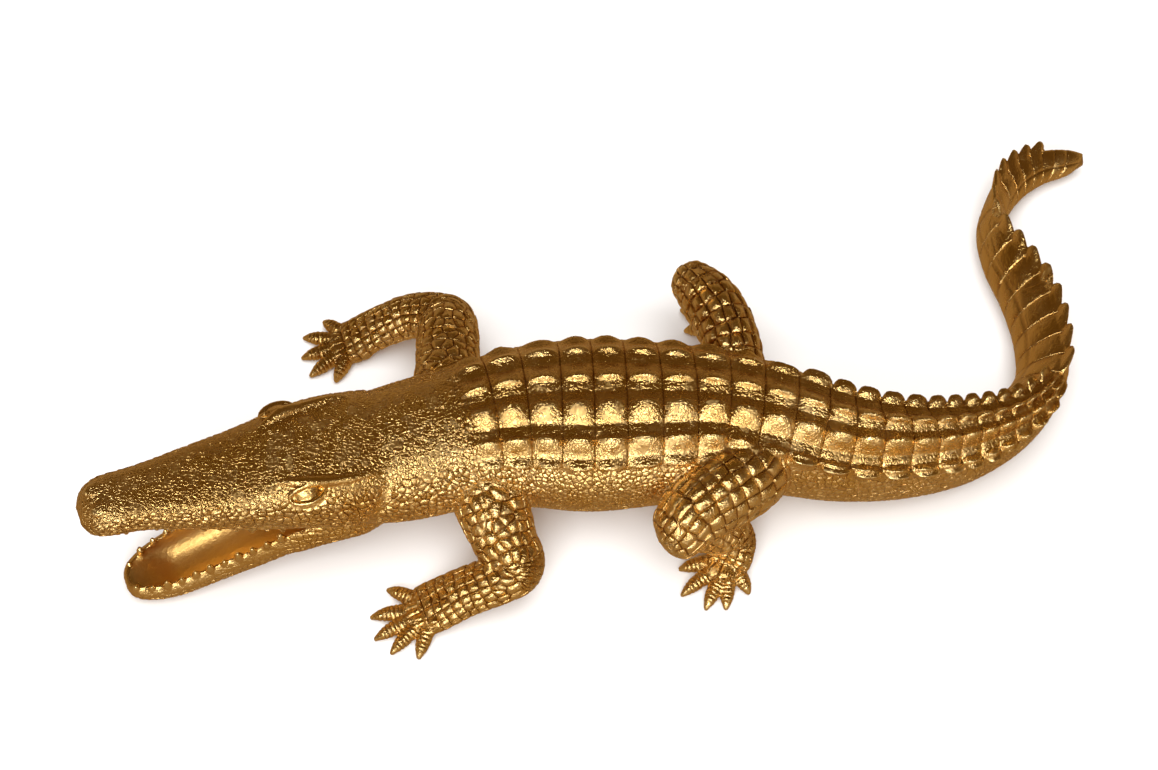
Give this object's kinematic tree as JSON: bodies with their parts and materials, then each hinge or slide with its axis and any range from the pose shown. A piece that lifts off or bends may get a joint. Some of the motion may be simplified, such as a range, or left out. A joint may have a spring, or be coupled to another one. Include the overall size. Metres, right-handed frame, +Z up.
{
  "type": "crocodile sculpture",
  "caption": "Gold crocodile figure cast in one piece: open jaws, plated back, splayed legs and a tail with a toothed crest curled in an S.",
  "frame": {"origin": "centre of the footprint of the whole figure, on the ground plane it stands on", "axes": "+Z up, nose toward -X, the animal's left side toward -Y, tail tip toward +X"},
  "size_m": [0.608, 0.3526, 0.1084],
  "materials": {
    "gold_finish": "metallic gold lacquer on cast resin, semi-gloss"
  },
  "bodies": {
    "root": {"crocodile": "gold_finish"}
  },
  "joints": []
}
